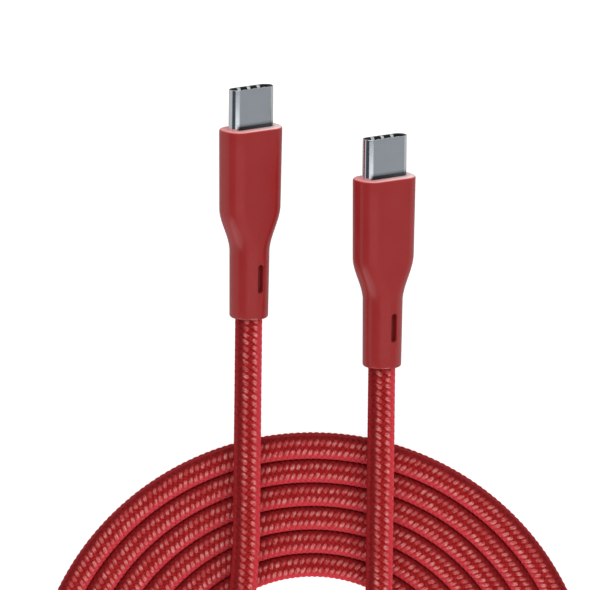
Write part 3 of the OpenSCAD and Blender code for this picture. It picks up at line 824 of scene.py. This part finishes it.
# ---------------------------------------------------------------------------------------
# Shells. A seamless drawn steel tube with round sides, plated bright, its mouth turned
# round at the lip. It stands out of the grip and slides into the receptacle. A dark band
# is painted along the root of each broad face, a painted shade and dark reflection, and
# the inside is painted dark, a painted shade.
# ---------------------------------------------------------------------------------------
# How far the painted shade and dark reflection climb from the root, and how dark it is there.
ROOT_SHADE_HEIGHTS = (0.25, 0.5, 0.75, 1.1)
ROOT_SHADE_DARKNESS = (1, 0.9, 0.4, 0)
# How dark the painted shade inside the shell is.
INSIDE_PAINTED_SHADE = 0.85
LIP_STEPS = 10
steel_finish = Finish("plated_steel", Metallic=1.0)
grain = steel_finish.noise(1, 3, steel_finish.stretched((3000, 350, 3000)))
patch = steel_finish.spread(steel_finish.noise(450, 3), 0.3, 0.7)
plated = steel_finish.mix(patch, (0.76, 0.775, 0.79), (0.80, 0.815, 0.83))
# A painted shade and dark reflection along the root of each broad face, and painted shade inside
# the shell.
root = steel_finish.attribute("root")
steel_finish.set(
    Base_Color=steel_finish.mix(root, plated, (0.03, 0.04, 0.045)),
    Roughness=0.11 + 0.04 * grain,
)
steel_finish.bump(grain, 0.000004, 0.25)


def make_shell(which, front):
    lip = SHELL_WALL / 2
    outer = (SHELL_W, SHELL_T, SHELL_T / 2)
    inner = (SHELL_W - 2 * SHELL_WALL, SHELL_T - 2 * SHELL_WALL, SHELL_T / 2 - SHELL_WALL)
    rings = [oblong(y, *outer) for y in (-SHELL_IN, 0, *ROOT_SHADE_HEIGHTS, SHELL_OUT - 2 * lip)]
    for i in range(1, LIP_STEPS):
        a = math.pi * i / LIP_STEPS
        cut = lip * (1 - math.cos(a))
        rings.append(
            oblong(
                SHELL_OUT - lip + lip * math.sin(a),
                SHELL_W - 2 * cut,
                SHELL_T - 2 * cut,
                SHELL_T / 2 - cut,
            )
        )
    rings += [oblong(SHELL_OUT - 2 * lip, *inner), oblong(-SHELL_IN, *inner)]
    made = lathe_rings(rings)
    painted_root_shade = []
    for vert in made.verts:
        # The painted shade and dark reflection lie on the broad faces, and on the upper half of
        # the side that faces right.
        x, y, z = vert.co
        broad = abs(z) / (SHELL_T / 2) if x < 0 or z < 0 else 1
        broad = ease(min(max((broad - 0.75) / 0.25, 0), 1))
        dark = np.interp(y, ROOT_SHADE_HEIGHTS, ROOT_SHADE_DARKNESS) * (1 - 0.02 * x)
        from_middle = math.hypot(max(abs(x) - (SHELL_W - SHELL_T) / 2, 0), z)
        inside = from_middle < SHELL_T / 2 - 0.6 * lip
        # Inside the shell painted shade, outside the painted band along the root.
        painted_root_shade.append(INSIDE_PAINTED_SHADE if inside else min(broad * dark, 1))
    place_plug(made, front)
    piece = piece_from(made, f"{which}_metal_shell", steel_finish)
    root_shade_layer = piece.data.attributes.new("root", "FLOAT", "POINT")
    root_shade_layer.data.foreach_set("value", painted_root_shade)
    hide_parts(f"{which}_shell")


make_shell("left", LEFT_FRONT)
make_shell("right", RIGHT_FRONT)

# ---------------------------------------------------------------------------------------
# Works of each plug: moulded insulators, gold contacts, a sprung steel latch, the board with
# its chip and capacitors, shield can, crimp and wires. They keep their shapes, and each gets
# the finish of what it is made of.
# ---------------------------------------------------------------------------------------


def plastic(name, dark, light, roughness, grain_size=2500):
    made = Finish(name, Roughness=roughness)
    made.set(Base_Color=made.mix(made.spread(made.noise(500, 3), 0.3, 0.7), dark, light))
    made.bump(made.noise(grain_size, 3), 0.00001, 0.4)
    return made


def metal(name, dark, light, low, high):
    made = Finish(name, Metallic=1.0)
    fine = made.noise(1, 3, made.stretched((4000, 500, 4000)))
    made.set(
        Base_Color=made.mix(made.spread(made.noise(600, 2), 0.3, 0.7), dark, light),
        Roughness=low + (high - low) * fine,
    )
    return made


black_insulator = plastic("black_insulator", (0.006, 0.006, 0.006), (0.010, 0.010, 0.010), 0.5)
black_insulator.set(Specular_IOR_Level=0.25)
ivory_insulator = plastic("ivory_insulator", (0.70, 0.67, 0.58), (0.78, 0.75, 0.66), 0.5)
hard_white = plastic("hard_white", (0.72, 0.69, 0.62), (0.80, 0.77, 0.70), 0.55)
board_green = plastic("board_green", (0.015, 0.13, 0.045), (0.02, 0.17, 0.06), 0.35, 6000)
chip_black = plastic("chip_black", (0.014, 0.014, 0.016), (0.022, 0.022, 0.025), 0.6, 6000)
capacitor_tan = plastic("capacitor_tan", (0.40, 0.29, 0.17), (0.48, 0.36, 0.22), 0.5)
stripped_cord = plastic("stripped_cord", (0.30, 0.010, 0.012), (0.42, 0.018, 0.020), 0.6)
gold_contact = metal("gold_contact", (0.76, 0.52, 0.20), (0.86, 0.62, 0.28), 0.15, 0.35)
spring_steel = metal("spring_steel", (0.80, 0.80, 0.78), (0.90, 0.90, 0.88), 0.35, 0.55)
wire_colours = {
    "power_wire": plastic("wire_red", (0.42, 0.02, 0.02), (0.5, 0.03, 0.03), 0.3),
    "ground_wire": plastic("wire_black", (0.012, 0.012, 0.012), (0.02, 0.02, 0.02), 0.3),
    "data_wires": plastic("wire_white", (0.7, 0.7, 0.7), (0.78, 0.78, 0.78), 0.3),
    "signal_wire": plastic("wire_blue", (0.03, 0.08, 0.35), (0.04, 0.10, 0.42), 0.3),
}
worn = {
    "inner_mold": hard_white,
    "front_insulator": black_insulator,
    "rear_insulator": ivory_insulator,
    "upper_contacts": gold_contact,
    "lower_contacts": gold_contact,
    "latch_plate": spring_steel,
    "upper_ground_spring": spring_steel,
    "lower_ground_spring": spring_steel,
    "circuit_board": board_green,
    "identity_chip": chip_black,
    "board_capacitors": capacitor_tan,
    "upper_can": steel_finish,
    "lower_can": steel_finish,
    "crimp_ring": steel_finish,
    "cord_end": stripped_cord,
    "overmold": grip_finish,
    "shell": steel_finish,
    **wire_colours,
}
for which in ("left", "right"):
    for node, finish in worn.items():
        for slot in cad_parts[f"{which}_{node}"].material_slots:
            slot.material = finish.material
for node in ("left_lead", "coil", "right_lead"):
    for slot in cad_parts[node].material_slots:
        slot.material = deep_yarn.material

# ---------------------------------------------------------------------------------------
# Ground springs. A strip of spring steel above and below the insulator, inside the shell,
# stamped with three fingers. Each finger dips into the mouth to touch the receptacle, and
# its tip folds over the insulator's nose.
# ---------------------------------------------------------------------------------------
# Outlines are points along the plug and up from its axis, of the outer and the inner skin.
FINGER_W, FINGER_PITCH = 0.6, 1.95
SPRING_W = 5.4
SPRING_EDGE = 0.02
SPRING_OUTER = [(4.8, 1.08), (5.3, 0.72), (5.7, 0.5), (5.9, 0.5), (6.5, 0.8), (6.5, 1.06)]
SPRING_INNER = [(4.8, 0.96), (5.3, 0.6), (5.7, 0.38), (5.88, 0.38), (6.52, 0.7), (6.58, 1.06)]
SPRING_PLATE = [(-0.8, 1.08), (4.8, 1.08), (4.8, 0.96), (-0.8, 0.96)]


def strip(made, outline, x, width, face):
    """A piece of sheet: an outline along the plug, drawn out across it."""
    one = made.faces.new([made.verts.new((x - width / 2, y, face * z)) for y, z in outline])
    drawn = bmesh.ops.extrude_face_region(made, geom=[one])["geom"]
    verts = [g for g in drawn if isinstance(g, bmesh.types.BMVert)]
    bmesh.ops.translate(made, verts=verts, vec=(width, 0, 0))


def make_spring(which, front, level, face):
    made = bmesh.new()
    strip(made, SPRING_PLATE, 0, SPRING_W, face)
    for k in (-1, 0, 1):
        strip(made, SPRING_OUTER + SPRING_INNER[::-1], k * FINGER_PITCH, FINGER_W, face)
    bmesh.ops.bevel(
        made,
        geom=list(made.edges),
        offset=SPRING_EDGE,
        segments=2,
        profile=0.5,
        affect="EDGES",
        material=-1,
    )
    bmesh.ops.recalc_face_normals(made, faces=made.faces)
    place_plug(made, front)
    piece = piece_from(made, f"{which}_{level}_spring", spring_steel)
    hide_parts(f"{which}_{level}_ground_spring")


for which, front in (("left", LEFT_FRONT), ("right", RIGHT_FRONT)):
    make_spring(which, front, "upper", 1)
    make_spring(which, front, "lower", -1)
